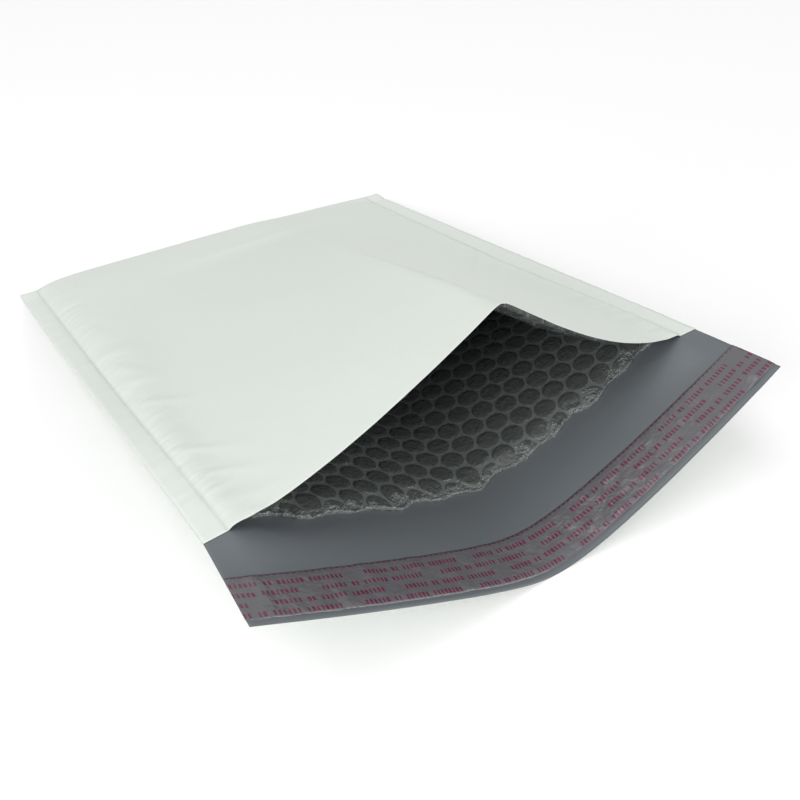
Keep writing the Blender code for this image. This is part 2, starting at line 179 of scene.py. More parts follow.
def soft_max(p, q, k):
    return 0.5 * (p + q + math.sqrt((p - q) ** 2 + k * k))


def soft_min(p, q, k):
    return 0.5 * (p + q - math.sqrt((p - q) ** 2 + k * k))


def smooth_step(t):
    t = min(max(t, 0.0), 1.0)
    return t * t * (3.0 - 2.0 * t)


def stretch_share(value, start, run_in, end, run_out):
    """1 on the stretch from start to end, easing in and out over the two runs."""
    return smooth_step((value - start) / run_in) * smooth_step((end - value) / run_out)


def seam_height(s):
    """Height of the side seals at distance s from the closed end."""
    d = s - FLAT_END
    if d <= 0.0:
        return 0.0
    run = d * d / (2.0 * FLAT_BLEND) if d < FLAT_BLEND else d - FLAT_BLEND / 2.0
    return MOUTH_RISE * run / (LENGTH - FLAT_END - FLAT_BLEND / 2.0)


def half_chord(s):
    """Distance from the centre line to the envelope's side."""
    return WIDTH / 2.0 - MOUTH_DRAW * min(s / LENGTH, 1.0)


def seal_edge(s):
    """Distance from the centre line to a side seal's inner edge."""
    return half_chord(s) * (1.0 - SEAL / (WIDTH / 2.0))


def seal_kink(s, x):
    """Lift of the side seals where the mouth pulls both panels apart."""
    t = max(half_chord(s) - abs(x), 0.0) / SEAL
    share = smooth_step(2.0 * s / LENGTH - 1.0)
    share *= 1.0 - smooth_step((s - LENGTH) / LINER_FROM)
    return SEAL_LIFT[0 if x < 0 else 1] * share * t * math.exp(min(1.0 - t, 0.0))


def back_z(s, x):
    """Underside of the back panel: a soft V whose keel runs along the table."""
    c, k, h = half_chord(s), KEEL_X * s / LENGTH, seam_height(s)
    e = KEEL_SOFT[0 if x < k else 1]
    a = (k - x) / (c + k) if x < k else (x - k) / (c - k)
    vee = h * (math.sqrt(a * a + e * e) - e) / (math.sqrt(1.0 + e * e) - e)
    return vee + seal_kink(s, x)


def pad(s, x):
    """Thickness of the closed bag at distance s from its end, at cross position x."""
    full = PAD_T * (1.0 - (1.0 - PAD_FOLD) * math.exp(-s / PAD_FOLD_RUN))
    d = max(seal_edge(s) - abs(x), 0.0)
    rear = math.exp(-s / PAD_REAR_LONG) * smooth_step(x / PAD_REAR_WIDE)
    soft = PAD_SOFT * (1.0 + (PAD_REAR - 1.0) * rear)
    return SEAL_T + (full - SEAL_T) * (1.0 - math.exp(-d / soft))


def ridge_x(s):
    """Cross position of the ridge at distance s from the closed end."""
    return RIDGE_X + RIDGE_DRIFT * (1.0 - s / LENGTH)


def front_z(s, x):
    """Top of the front panel: flat padding near the closed end, a ridge at the mouth."""
    w = seal_edge(s)
    d = w - abs(x)
    low = back_z(s, x)
    if d <= 0.0:
        return low + SEAL_T
    slope = (RIDGE_RISE - PAD_T) / (LENGTH - RIDGE_FROM)
    top = RIDGE_RISE - slope * (LENGTH - s)
    rx = ridge_x(s)
    zl, zr = back_z(s, -w) + SEAL_T, back_z(s, w) + SEAL_T
    left = zl + (top - zl) * ((x + w) / (rx + w)) ** FLANK_LEFT
    right = zr + (top - zr) * ((w - x) / (w - rx)) ** FLANK_RIGHT
    soft = RIDGE_SOFT * min(1.0, max(top - zl, 0.0) / RIDGE_LOW)
    soft *= RIDGE_SHARP + (1.0 - RIDGE_SHARP) * smooth_step((s - LIP_FROM) / LIP_RUN)
    tent = soft_min(left, right, soft)
    ease = TENT_EASE * (1.0 - math.exp(-d / TENT_EASE_RUN))
    return soft_max(low + pad(s, x), tent, ease)


def lean(surface, s, x):
    """How much longer a step through the sheet is straight up than square to it."""
    e, most = 1 * MM, 1.35
    zx = (surface(s, x + e) - surface(s, x - e)) / (2 * e)
    zs = (surface(s + e, x) - surface(max(s - e, 0.0), x)) / (2 * e)
    return min(math.sqrt(1.0 + zx * zx + zs * zs), most)


def fold_share(s, inset):
    """Share of the full height at distance s from the folded end."""
    if s >= FOLD_R:
        return 1.0
    q = (FOLD_R - s) / (FOLD_R - inset)
    return math.sqrt(max(1.0 - q * q, 0.0))


def place(s, x, rise, z):
    """Point at height z whose sheet has climbed by rise over the distance s along it."""
    rise = min(max(rise, 0.0), STEEPEST * s)
    shift = MOUTH_SHIFT * min(s / LENGTH, 1.0) - FLAP_SHIFT * max(s - LENGTH, 0.0) / FLAP
    return Vector((x + shift, END_Y - math.sqrt(s * s - rise * rise), z))


def bag_point(front, s, x, inset):
    """A point of the bag, inset squarely from the outer film's outer face."""
    low, high = back_z(s, x), front_z(s, x)
    mid, room = 0.5 * (low + high), 0.5 * (high - low)
    share = fold_share(s, min(inset, FOLD_R * FOLD_INNER))
    if front:
        z = mid + (room - inset * lean(front_z, s, x)) * share
        return place(s, x, high - pad(s, x), z)
    z = mid - (room - inset * lean(back_z, s, x)) * share
    return place(s, x, low, z)


def flap_point(s, x, up):
    """A point above the back film's underside, on the flap."""
    low = back_z(s, x)
    return place(s, x, low, low + up * lean(back_z, s, x))


def cross_table(front, n):
    """Cross positions at even lengths along the section between the seals."""
    if (front, n) not in tables:
        s = max(n * TABLE_STEP, 0.5 * MM)
        w, surface = seal_edge(s), front_z if front else back_z
        xs = [w * (2.0 * i / TABLE_CUTS - 1.0) for i in range(TABLE_CUTS + 1)]
        zs = [surface(s, x) for x in xs]
        runs = [0.0]
        for i in range(TABLE_CUTS):
            runs.append(runs[-1] + math.hypot(xs[i + 1] - xs[i], zs[i + 1] - zs[i]))
        row, j = [], 0
        for i in range(TABLE_N + 1):
            goal = runs[-1] * i / TABLE_N
            while j < TABLE_CUTS - 1 and runs[j + 1] < goal:
                j += 1
            f = (goal - runs[j]) / (runs[j + 1] - runs[j])
            row.append(xs[j] + (xs[j + 1] - xs[j]) * min(max(f, 0.0), 1.0))
        tables[front, n] = row
    return tables[front, n]


def cross_at(front, s, u):
    """Cross position of the flat sheet's point u at distance s from the closed end."""
    half = WIDTH / 2.0 - SEAL
    if abs(u) >= half:
        c, w = half_chord(s), seal_edge(s)
        return math.copysign(w + (c - w) * (abs(u) - half) / SEAL, u)
    a = max(s, 0.0) / TABLE_STEP
    b = (u / half + 1.0) * TABLE_N / 2.0
    n, m = int(a), min(int(b), TABLE_N - 1)
    pair = []
    for row in (cross_table(front, n), cross_table(front, n + 1)):
        pair.append(row[m] + (row[m + 1] - row[m]) * (b - m))
    return pair[0] + (pair[1] - pair[0]) * (a - n)


def ripple(u, s, size_u, size_s, seed):
    """Smooth unevenness, about -1 to 1, with the given sizes across and along."""
    return noise.noise(Vector((u / size_u, s / size_s, seed)))


def graded(values, rear, mouth):
    """Plain value, with more of it at the rear and at the mouth."""
    return values[0] + values[1] * rear + values[2] * mouth


def tent_crease(s, x):
    """Height of the sharp crease along the ridge, and of the soft one it starts from."""
    off = math.hypot(x - ridge_x(s), 0.8 * MM)
    along = stretch_share(s, 30 * MM, 30 * MM, 292 * MM, 40 * MM) * math.exp(-off / (8 * MM))
    off = math.hypot(s - 37 * MM, 1.5 * MM)
    side = stretch_share(x, -60 * MM, 60 * MM, 62 * MM, 22 * MM) * math.exp(-off / (9 * MM))
    return 0.9 * MM * along + 1.6 * MM * side * (1.0 - along)


def seal_puckers(d, s, rear, mouth, seed):
    """Fine puckers square to a seal, at distance d inwards from its edge."""
    window = PUCKER_START
    if d > 0.0:
        reach = graded(PUCKER_REACH, rear, mouth) * MM
        window += (1.0 - PUCKER_START) * smooth_step(d / (3 * MM))
        window *= math.exp(-(d / reach) ** 2)
    bent = s + PUCKER_SLANT * d * (1.0 - rear)
    spacing = graded(PUCKER_SPACING, rear, mouth) * MM
    fine = 1.0 - 3.2 * abs(ripple(d, bent, 40 * MM, spacing, seed))
    wave = 0.8 * fine + 0.6 * ripple(d, bent, 30 * MM, 9 * MM, seed + 9)
    return graded(PUCKER_HIGH, rear, mouth) * MM * wave * window


def long_folds(d, s, rear, seed):
    """Slanting folds a little way in from a seal, none at the rear."""
    share = math.exp(-((d - 13 * MM) / (11 * MM)) ** 2) * (1.0 - rear)
    crease = 1.0 - 4.0 * abs(ripple(d, s - 0.7 * d, 70 * MM, 24 * MM, seed + 4))
    return 0.55 * MM * share * max(crease, 0.0)


def soft_dents(u, s, d):
    """Broad dents and small unevenness of the free film."""
    dents = 0.4 * MM * ripple(u, s, 34 * MM, 40 * MM, 1.5)
    dents += 0.1 * MM * ripple(u, s, 8 * MM, 8 * MM, 6.5)
    return dents * smooth_step(d / (16 * MM))


def film_relief(u, s, depth):
    """Height of the film's creases: puckers beside the seals, long folds, soft dents."""
    if s > LENGTH:
        flap = smooth_step((s - LENGTH) / (8 * MM))
        return depth * 0.35 * MM * flap * ripple(u, s, 26 * MM, 18 * MM, 2.5)
    d = WIDTH / 2.0 - SEAL - abs(u)
    seed = 3.7 if u < 0 else 11.3
    rear = smooth_step((130 * MM - s) / (90 * MM))
    mouth = smooth_step((s - 215 * MM) / (60 * MM))
    high = seal_puckers(d, s, rear, mouth, seed) + long_folds(d, s, rear, seed)
    high += soft_dents(u, s, d) + 0.25 * MM * smooth_step(-d / (3 * MM))
    lip_corner = smooth_step((s - 275 * MM) / (20 * MM)) * smooth_step(1.0 - d / (8 * MM))
    return depth * high * smooth_step(s / (5 * MM)) * (1.0 - 0.95 * lip_corner)


def film_point(u, t, depth):
    """Point of the film's outer face: t runs over the front, round the fold, and back."""
    front, s = t < LENGTH, abs(t - LENGTH)
    s -= FOLD_TAKE * s / (s + FOLD_TAKE) * math.exp(-s / FOLD_RUN)
    x = cross_at(front, s, u)
    co = flap_point(s, x, 0.0) if s > LENGTH else bag_point(front, s, x, 0.0)
    high = film_relief(u, s, depth)
    if front:
        high += depth * tent_crease(s, x)
    else:
        apart = smooth_step((WIDTH / 2.0 - SEAL - abs(u)) / (6 * MM))
        high += (BACK_RELIEF * abs(high) - high) * apart
    low = SEAL_T if front and s > 2 * MM else 0.0
    co.z = max(co.z + high, min(low, co.z))
    return co


def sheet_place(a, b):
    """Place on the flat sheet, as shares, of grid place a, b: closer by seals and mouth."""
    front = LENGTH / (2.0 * LENGTH + FLAP)
    if b < FRONT_ROWS:
        b = b / FRONT_ROWS * front
    else:
        b = front + (b - FRONT_ROWS) / (1.0 - FRONT_ROWS) * (1.0 - front)
    return 0.5 * (1.0 + a * (2.0 + CROWDING / 4.0 - CROWDING * a * a)), b


def cut_edge(u):
    """Distance of the lining's ragged cut edge from the closed end."""
    t = u / PITCH
    wave = 0.6 * math.sin(3.3 * t + 0.4) + 0.5 * math.sin(1.9 * t + 2.0)
    return LENGTH - LINING_BACK + wave * CUT_WAVE


def lining_point(u, t, high):
    """Point of the lining's inner face; t is negative on the front leaf."""
    front, s = t < 0.0, abs(t) + LINING_FROM
    cut = LENGTH - LINING_BACK
    near = smooth_step((s - cut + CUT_RUN) / CUT_RUN)
    s += (cut_edge(u) - cut + CUT_FRAY * ripple(u, s, 2.2 * MM, 9 * MM, 4.0)) * near
    if front:
        s += FRONT_MORE * smooth_step((s - cut + FRONT_RUN) / FRONT_RUN)
    x = cross_at(front, s, u)
    film = FILM_ROOM + GAP
    full = LINING_T * (1.0 - (1.0 - LINING_CUT) * near ** 2)
    room = front_z(s, x) - back_z(s, x) - 2.0 * film
    leaf = soft_min(full, 0.42 * max(room, 0.0), 0.3 * MM)
    bubble = high * (1.0 - BUBBLE_FLAT * near)
    if not front:
        bubble += CRUSH * near * ripple(u, s, 2.4 * MM, 2.4 * MM, 8.0)
    inset = film + GAP + max(leaf, 0.05 * MM)
    inset += bubble * smooth_step((room - 2.0 * leaf) / (4 * MM))
    if high < 0.0:
        inset = film
    return bag_point(front, s, x, max(inset, film))


def get_object(name, bm, materials):
    """New object from a bmesh, in place of any older one of that name."""
    old = bpy.data.objects.get(name)
    if old:
        bpy.data.objects.remove(old, do_unlink=True)
    mesh = bpy.data.meshes.new(name)
    bm.to_mesh(mesh)
    bm.free()
    for material in materials:
        mesh.materials.append(material)
    mesh.shade_smooth()
    obj = bpy.data.objects.new(name, mesh)
    bpy.context.scene.collection.objects.link(obj)
    return obj


def thicken(obj, thickness, offset, shift=0):
    """Give a sheet its thickness; shift is the step to the inner face's material."""
    shell = obj.modifiers.new("thickness", "SOLIDIFY")
    shell.thickness, shell.offset = thickness, offset
    shell.use_quality_normals = True
    shell.material_offset = shift


def linear(colour):
    """Scene value of a colour as it shows on a screen."""
    return tuple(c / 12.92 if c <= 0.04045 else ((c + 0.055) / 1.055) ** 2.4 for c in colour)


def node(tree, kind, **values):
    """New node with values for its sockets or its settings."""
    made = tree.nodes.new(kind)
    for key, value in values.items():
        if key in made.inputs:
            made.inputs[key].default_value = value
        else:
            setattr(made, key, value)
    return made


def math_node(tree, operation, first, second=None):
    """Result of a sum on numbers or other nodes' outputs."""
    made = node(tree, "ShaderNodeMath", operation=operation)
    for i, value in enumerate((first, second)):
        if value is None:
            continue
        if isinstance(value, (int, float)):
            made.inputs[i].default_value = value
        else:
            tree.links.new(value, made.inputs[i])
    return made.outputs[0]


def within(tree, value, middle, reach):
    """1 where a value lies within reach of the middle, otherwise 0."""
    made = math_node(tree, "COMPARE", value, middle)
    made.node.inputs[2].default_value = reach
    return made


def faded(tree, distance, fade):
    """1 on a line, falling to 0 at the distance 1 / fade from it."""
    run = math_node(tree, "MULTIPLY", distance, fade)
    return math_node(tree, "MAXIMUM", math_node(tree, "SUBTRACT", 1.0, run), 0.0)


def mixed_colour(tree, share, ground, mark):
    """A mark's colour over the ground, which is a colour or another node's output."""
    mix = node(tree, "ShaderNodeMix", data_type="RGBA")
    if isinstance(ground, bpy.types.NodeSocket):
        tree.links.new(ground, mix.inputs[6])
    else:
        mix.inputs[6].default_value = (*ground, 1.0)
    mix.inputs[7].default_value = (*mark, 1.0)
    tree.links.new(share, mix.inputs[0])
    return mix.outputs[2]


def grain(tree, where, scale, detail):
    """Height of a noise pattern at the given coordinates."""
    made = node(tree, "ShaderNodeTexNoise", Scale=scale, Detail=detail)
    tree.links.new(where, made.inputs["Vector"])
    return made.outputs[0]


def relief(tree, height, strength, distance, below=None):
    """Normal bent by a height, on top of the normal below."""
    bump = node(tree, "ShaderNodeBump", Strength=strength, Distance=distance)
    tree.links.new(height, bump.inputs["Height"])
    if below is not None:
        tree.links.new(below, bump.inputs["Normal"])
    return bump.outputs[0]


def flat_place(tree):
    """The flat sheet's own coordinates: both together, across and along."""
    where = tree.nodes.new("ShaderNodeUVMap")
    where.uv_map = "flat"
    split = tree.nodes.new("ShaderNodeSeparateXYZ")
    tree.links.new(where.outputs[0], split.inputs[0])
    return where.outputs[0], split.outputs[0], split.outputs[1]


def object_place(tree):
    """The object's own coordinates, in metres."""
    return tree.nodes.new("ShaderNodeTexCoord").outputs["Object"]


def plastic(name, colour, roughness, specular=0.5, coat=0.0):
    """Smooth plastic material, with its tree and its shader."""
    material = bpy.data.materials.get(name) or bpy.data.materials.new(name)
    material.use_nodes = True
    tree = material.node_tree
    tree.nodes.clear()
    out = tree.nodes.new("ShaderNodeOutputMaterial")
    shader = tree.nodes.new("ShaderNodeBsdfPrincipled")
    shader.inputs["Base Color"].default_value = (*colour, 1.0)
    shader.inputs["Roughness"].default_value = roughness
    shader.inputs["Specular IOR Level"].default_value = specular
    shader.inputs["Coat Weight"].default_value = coat
    shader.inputs["Coat Roughness"].default_value = 0.12
    material.diffuse_color = (*colour, 1.0)
    tree.links.new(shader.outputs[0], out.inputs["Surface"])
    return material, tree, shader


def rough_plastic(sizes, distance, *finish):
    """Plastic with a fine relief; sizes are (scale per metre, share of the height)."""
    material, tree, shader = plastic(*finish)
    where = object_place(tree)
    normal = None
    for scale, strength in sizes:
        normal = relief(tree, grain(tree, where, scale, 3.0), strength, distance, normal)
    tree.links.new(normal, shader.inputs["Normal"])
    return material, tree, shader


def white_film(colour):
    """The film's outside: pressed line with painted shade in its groove, paler strip at the
    seals, fine puckers, grain.
    """
    material, tree, shader = plastic("white_film", colour, 0.42, 0.35)
    where, across, _ = flat_place(tree)
    side = math_node(tree, "ABSOLUTE", math_node(tree, "SUBTRACT", across, 0.5))
    past = math_node(tree, "SUBTRACT", side, 0.5 - SEAL / WIDTH)
    off = math_node(tree, "ABSOLUTE", past)
    patches = grain(tree, where, 22.0, 1.0)
    line = math_node(tree, "MULTIPLY", faded(tree, off, LINE_FADE), patches)
    strip = math_node(tree, "GREATER_THAN", past, STRIP_FROM)
    shade = mixed_colour(tree, strip, colour, [min(c * STRIP_SHADE, 1.0) for c in colour])
    # painted shade: the pressed line's groove is darkened in the colour, besides being
    # bumped in below
    shade = mixed_colour(tree, line, shade, [min(c * PAINTED_GROOVE_SHADE, 1.0) for c in colour])
    tree.links.new(shade, shader.inputs["Base Color"])
    inwards = math_node(tree, "LESS_THAN", past, 0.0)
    beside = math_node(tree, "MULTIPLY", faded(tree, off, FOLDS_FADE), inwards)
    stretch = node(tree, "ShaderNodeMapping", Scale=(7.0, 210.0, 1.0))
    tree.links.new(where, stretch.inputs[0])
    folds = grain(tree, stretch.outputs[0], 1.0, 2.0)
    height = math_node(tree, "SUBTRACT", math_node(tree, "MULTIPLY", folds, beside),
                       math_node(tree, "MULTIPLY", line, 0.5))
    normal = relief(tree, height, 0.65, 1.0 * MM)
    fine = grain(tree, object_place(tree), 110.0, 4.0)
    normal = relief(tree, fine, 0.4, 0.6 * MM, normal)
    tree.links.new(normal, shader.inputs["Normal"])
    return material


def word_groups(tree, place_in_phrase):
    """1 on the blocks of a word, 0 on the gaps between words."""
    words = tree.nodes.new("ShaderNodeValToRGB")
    words.color_ramp.interpolation = "CONSTANT"
    points = words.color_ramp.elements
    points[0].position, points[0].color = 0.0, (1, 1, 1, 1)
    points[1].position, points[1].color = FIRST_WORD / PHRASE, (0, 0, 0, 1)
    for count, value in WORD_ENDS:
        point = points.new(count / PHRASE)
        point.color = (value, value, value, 1)
    tree.links.new(place_in_phrase, words.inputs[0])
    return words.outputs[0]


def print_rows(tree, shader, ground, ink):
    """Rows of short blocks in word-like groups, with a dotted line along one edge."""
    _, across, along = flat_place(tree)
    x = math_node(tree, "MULTIPLY", across, WIDTH / MM)
    y = math_node(tree, "MULTIPLY", along, LINER_W / MM)
    rows = math_node(tree, "DIVIDE", math_node(tree, "SUBTRACT", y, ROW_FROM), ROW_STEP)
    row = math_node(tree, "FLOOR", rows)
    tall = within(tree, math_node(tree, "FRACT", rows), 0.5, ROW_HALF)
    printed = within(tree, row, (ROW_COUNT - 1) / 2.0, 0.4 * ROW_COUNT)
    run = math_node(tree, "ADD", x, math_node(tree, "MULTIPLY", row, ROW_OFFSET))
    count = math_node(tree, "DIVIDE", run, BLOCK_STEP)
    chance = node(tree, "ShaderNodeTexWhiteNoise", noise_dimensions="1D")
    whole = math_node(tree, "ADD", math_node(tree, "FLOOR", count),
                      math_node(tree, "MULTIPLY", row, ROW_SEED))
    tree.links.new(whole, chance.inputs["W"])
    wide = math_node(tree, "MULTIPLY", chance.outputs["Value"], BLOCK_MORE)
    wide = math_node(tree, "ADD", wide, BLOCK_HALF)
    block = math_node(tree, "SUBTRACT", math_node(tree, "FRACT", count), 0.5)
    block = math_node(tree, "LESS_THAN", math_node(tree, "ABSOLUTE", block), wide)
    phrase = math_node(tree, "FRACT", math_node(tree, "DIVIDE", run, BLOCK_STEP * PHRASE))
    mask = math_node(tree, "MULTIPLY", tall, printed)
    mask = math_node(tree, "MULTIPLY", mask, block)
    mask = math_node(tree, "MULTIPLY", mask, word_groups(tree, phrase))
    dots = math_node(tree, "FRACT", math_node(tree, "DIVIDE", x, DOT_STEP))
    dots = math_node(tree, "LESS_THAN", dots, DOT_SHARE)
    dots = math_node(tree, "MULTIPLY", within(tree, y, DOT_LINE, DOT_HALF), dots)
    mask = math_node(tree, "MAXIMUM", mask, dots)
    tree.links.new(mixed_colour(tree, mask, ground, ink), shader.inputs["Base Color"])


class EnvelopeSettings(bpy.types.PropertyGroup):
    film_thickness: bpy.props.FloatProperty(
        name="Film Thickness", description="Thickness of the outer film",
        default=0.15 * MM, min=0.05 * MM, max=0.2 * MM, unit="LENGTH", precision=5)
    crease_depth: bpy.props.FloatProperty(
        name="Crease Depth", description="How deep the film's creases are, as a factor",
        default=1.0, min=0.0, max=1.5)
    bubble_diameter: bpy.props.FloatProperty(
        name="Bubble Diameter", description="Diameter of one air bubble",
        default=10.3 * MM, min=6 * MM, max=10.6 * MM, unit="LENGTH")
    bubble_rise: bpy.props.FloatProperty(
        name="Bubble Rise", description="How far a bubble stands off the lining",
        default=0.6 * MM, min=0.2 * MM, max=1.5 * MM, unit="LENGTH", precision=5)
    liner_thickness: bpy.props.FloatProperty(
        name="Liner Thickness", description="Thickness of the peel-off release liner",
        default=0.12 * MM, min=0.05 * MM, max=0.3 * MM, unit="LENGTH", precision=5)
    film_colour: bpy.props.FloatVectorProperty(
        name="Film Colour", description="Outside of the film", subtype="COLOR",
        size=3, min=0.0, max=1.0, default=linear((0.84, 0.864, 0.838)))
    inside_colour: bpy.props.FloatVectorProperty(
        name="Inside Colour", description="Inside of the film, seen on the flap",
        subtype="COLOR", size=3, min=0.0, max=1.0, default=linear((0.40, 0.42, 0.435)))
    lining_colour: bpy.props.FloatVectorProperty(
        name="Lining Colour", description="Bubble lining", subtype="COLOR",
        size=3, min=0.0, max=1.0, default=linear((0.42, 0.44, 0.43)))
    print_colour: bpy.props.FloatVectorProperty(
        name="Print Colour", description="Bars printed on the release liner",
        subtype="COLOR", size=3, min=0.0, max=1.0, default=linear((0.41, 0.185, 0.275)))


def settings():
    return bpy.context.scene.envelope


class ENVELOPE_OT_film(bpy.types.Operator):
    """Outer film: one sheet folded at the closed end, sealed at the sides, with a flap"""
    bl_idname = "envelope.film"
    bl_label = "Outer Film"

    def execute(self, context):
        s = settings()
        bm = bmesh.new()
        flat = bm.loops.layers.uv.new("flat")
        bmesh.ops.create_grid(bm, x_segments=FILM_ACROSS, y_segments=FILM_ALONG, size=0.5,
                              calc_uvs=True)
        total = 2.0 * LENGTH + FLAP
        for face in bm.faces:
            for loop in face.loops:
                loop[flat].uv = sheet_place(loop.vert.co.x, loop.vert.co.y + 0.5)
        for v in bm.verts:
            a, b = sheet_place(v.co.x, v.co.y + 0.5)
            v.co = film_point((a - 0.5) * WIDTH, b * total, s.crease_depth)
        grey = rough_plastic(((60.0, 0.25), (300.0, 0.1)), 0.6 * MM,
                             "grey_film_inside", s.inside_colour, 0.4, 0.4)[0]
        obj = get_object("film_sheet", bm, [white_film(s.film_colour), grey])
        thicken(obj, s.film_thickness, -1.0, 1)
        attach(obj, "root")
        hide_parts("outer_film")
        return {"FINISHED"}


def bubble_cell(bm, half, rise):
    """One six-sided cell of the lining with its bubble; gives all its parts."""
    corner, middle = PITCH / math.sqrt(3.0), PITCH / 2.0
    turn = 360 // BUBBLE_SIDES
    made = bmesh.ops.create_circle(bm, cap_ends=True, segments=BUBBLE_SIDES, radius=corner)
    for v in made["verts"]:
        step = round(math.degrees(math.atan2(v.co.y, v.co.x)) / turn)
        at = math.radians(turn * step)
        r = corner if step % 2 == 0 else middle
        v.co = (r * math.cos(at), r * math.sin(at), 0)
    cap = bm.faces[:][0]
    for share, up in BUBBLE_RINGS:
        bmesh.ops.inset_individual(bm, faces=[cap], thickness=0.2 * MM)
        for v in cap.verts:
            at = math.atan2(v.co.y, v.co.x)
            r = half * share
            v.co = (r * math.cos(at), r * math.sin(at), rise * up)
    made = bmesh.ops.poke(bm, faces=[cap])
    for v in made["verts"]:
        v.co.z = rise
    for face in bm.faces:
        at = face.calc_center_median()
        face.material_index = 1 if math.hypot(at.x, at.y) < BUBBLE_DISC * half else 0
    return bm.verts[:] + bm.edges[:] + bm.faces[:]


def lay_cells(bm, cell, side, cut):
    """Copies of the cell over the flat lining, in staggered columns; the first one goes."""
    step = PITCH * math.sqrt(3.0) / 2.0
    columns = int(side / step) + 1
    for i in range(-columns, columns + 1):
        t = cut - 0.9 * PITCH + LINING_FROM - (i % 2) * PITCH / 2.0 + 2 * PITCH
        while t > -cut - PITCH:
            made = bmesh.ops.duplicate(bm, geom=cell)
            tall = 0.75 + 0.35 * noise.noise(Vector((i * 0.9, t / PITCH, 0.0)))
            for v in made["geom"]:
                if isinstance(v, bmesh.types.BMVert):
                    v.co = (v.co.x + i * step + KEEL_X, v.co.y + t, v.co.z * tall)
            t -= PITCH
    first = [g for g in cell if isinstance(g, bmesh.types.BMVert)]
    bmesh.ops.delete(bm, geom=first, context="VERTS")


def trim_lining(bm, side, cut):
    """Cut the lining at its sides and ends, and turn its rim down to the film."""
    for co, no in (((side, 0, 0), (1, 0, 0)), ((-side, 0, 0), (-1, 0, 0)),
                   ((0, cut, 0), (0, 1, 0)), ((0, -cut, 0), (0, -1, 0))):
        geom = bm.verts[:] + bm.edges[:] + bm.faces[:]
        bmesh.ops.bisect_plane(bm, geom=geom, dist=1e-7, plane_co=co, plane_no=no,
                               clear_outer=True)
    bmesh.ops.remove_doubles(bm, verts=bm.verts, dist=0.03 * MM)
    rim = [e for e in bm.edges if e.is_boundary]
    made = bmesh.ops.extrude_edge_only(bm, edges=rim)
    for v in made["geom"]:
        if isinstance(v, bmesh.types.BMVert):
            v.co.z = -1.0


class ENVELOPE_OT_lining(bpy.types.Operator):
    """Bubble lining: one bubbled sheet folded with the film, with a crushed cut edge"""
    bl_idname = "envelope.lining"
    bl_label = "Bubble Lining"

    def execute(self, context):
        s = settings()
        cut = LENGTH - LINING_BACK - LINING_FROM
        side = WIDTH / 2.0 - SEAL - 0.6 * MM
        bm = bmesh.new()
        flat = bm.loops.layers.uv.new("flat")
        cell = bubble_cell(bm, s.bubble_diameter / 2.0, s.bubble_rise)
        lay_cells(bm, cell, side, cut)
        trim_lining(bm, side, cut)
        for face in bm.faces:
            for loop in face.loops:
                co = loop.vert.co
                loop[flat].uv = (co.x / WIDTH + 0.5, co.y / (2.0 * LENGTH) + 0.5)
            at = face.calc_center_median()
            ragged = 3.0 + 8.0 * ripple(at.x, 0.0, 8 * MM, 1.0, 2.0)
            if at.y > cut - max(ragged, 1.0) * MM:
                face.material_index = 2
        for v in bm.verts:
            v.co = lining_point(*v.co)
        dark = [BUBBLE_DARK * c for c in s.lining_colour]
        web = rough_plastic(((300.0, 0.3), (900.0, 0.2)), 0.5 * MM,
                            "bubble_web", s.lining_colour, 0.38, 0.5)[0]
        disc = rough_plastic(((170.0, 0.9), (560.0, 0.5)), 1.3 * MM,
                             "bubble_disc", dark, 0.2, 0.7, 0.4)[0]
        crushed = rough_plastic(((300.0, 1.0), (900.0, 0.7)), 1.6 * MM,
                                "bubble_crushed", s.lining_colour, 0.12, 1.0, 0.5)[0]
        obj = get_object("lining_sheet", bm, [web, disc, crushed])
        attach(obj, "root")
        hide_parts("bubble_lining")
        return {"FINISHED"}


def band(name, start, width, up, ruck, material, thickness, margin):
    """A band lying across the flap's inner face, up above the film's underside."""
    bm = bmesh.new()
    flat = bm.loops.layers.uv.new("flat")
    bmesh.ops.create_grid(bm, x_segments=200, y_segments=18, size=0.5, calc_uvs=True)
    for face in bm.faces:
        for loop in face.loops:
            loop[flat].uv = (loop.vert.co.x + 0.5, loop.vert.co.y + 0.5)
    for v in bm.verts:
        u, t = v.co.x * (WIDTH - 2.0 * margin), (v.co.y + 0.5) * width
        s = LENGTH + start + t
        x = cross_at(False, s, u)
        high = film_relief(u, s, settings().crease_depth)
        from_edge = min(t, width - t)
        share = 0.35 + 0.65 * smooth_step(from_edge / (2 * MM))
        rucks = max(ripple(u, t, 7 * MM, 16 * MM, 5.0), 0.0)
        rucks += max(ripple(u + 0.5 * t, t, 3 * MM, 12 * MM, 9.0) - 0.1, 0.0) * 0.6
        drop = 0.5 * up * (1.0 - smooth_step(from_edge / (2.6 * MM)))
        v.co = flap_point(s, x, up - drop + ruck * rucks * share)
        v.co.z += abs(high) * BACK_RELIEF + 0.02 * MM
    obj = get_object(name, bm, [material])
    thicken(obj, thickness, 1.0)
    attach(obj, "root")
    return obj


class ENVELOPE_OT_adhesive(bpy.types.Operator):
    """Adhesive strip across the flap, under the release liner"""
    bl_idname = "envelope.adhesive"
    bl_label = "Adhesive Strip"

    def execute(self, context):
        tack = plastic("clear_adhesive", linear((0.34, 0.34, 0.35)), 0.2)[0]
        obj = band("adhesive_band", TACK_FROM, TACK_W, 0.24 * MM, 0.0, tack, 0.1 * MM, SEAL)
        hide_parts("adhesive_strip")
        return {"FINISHED"}


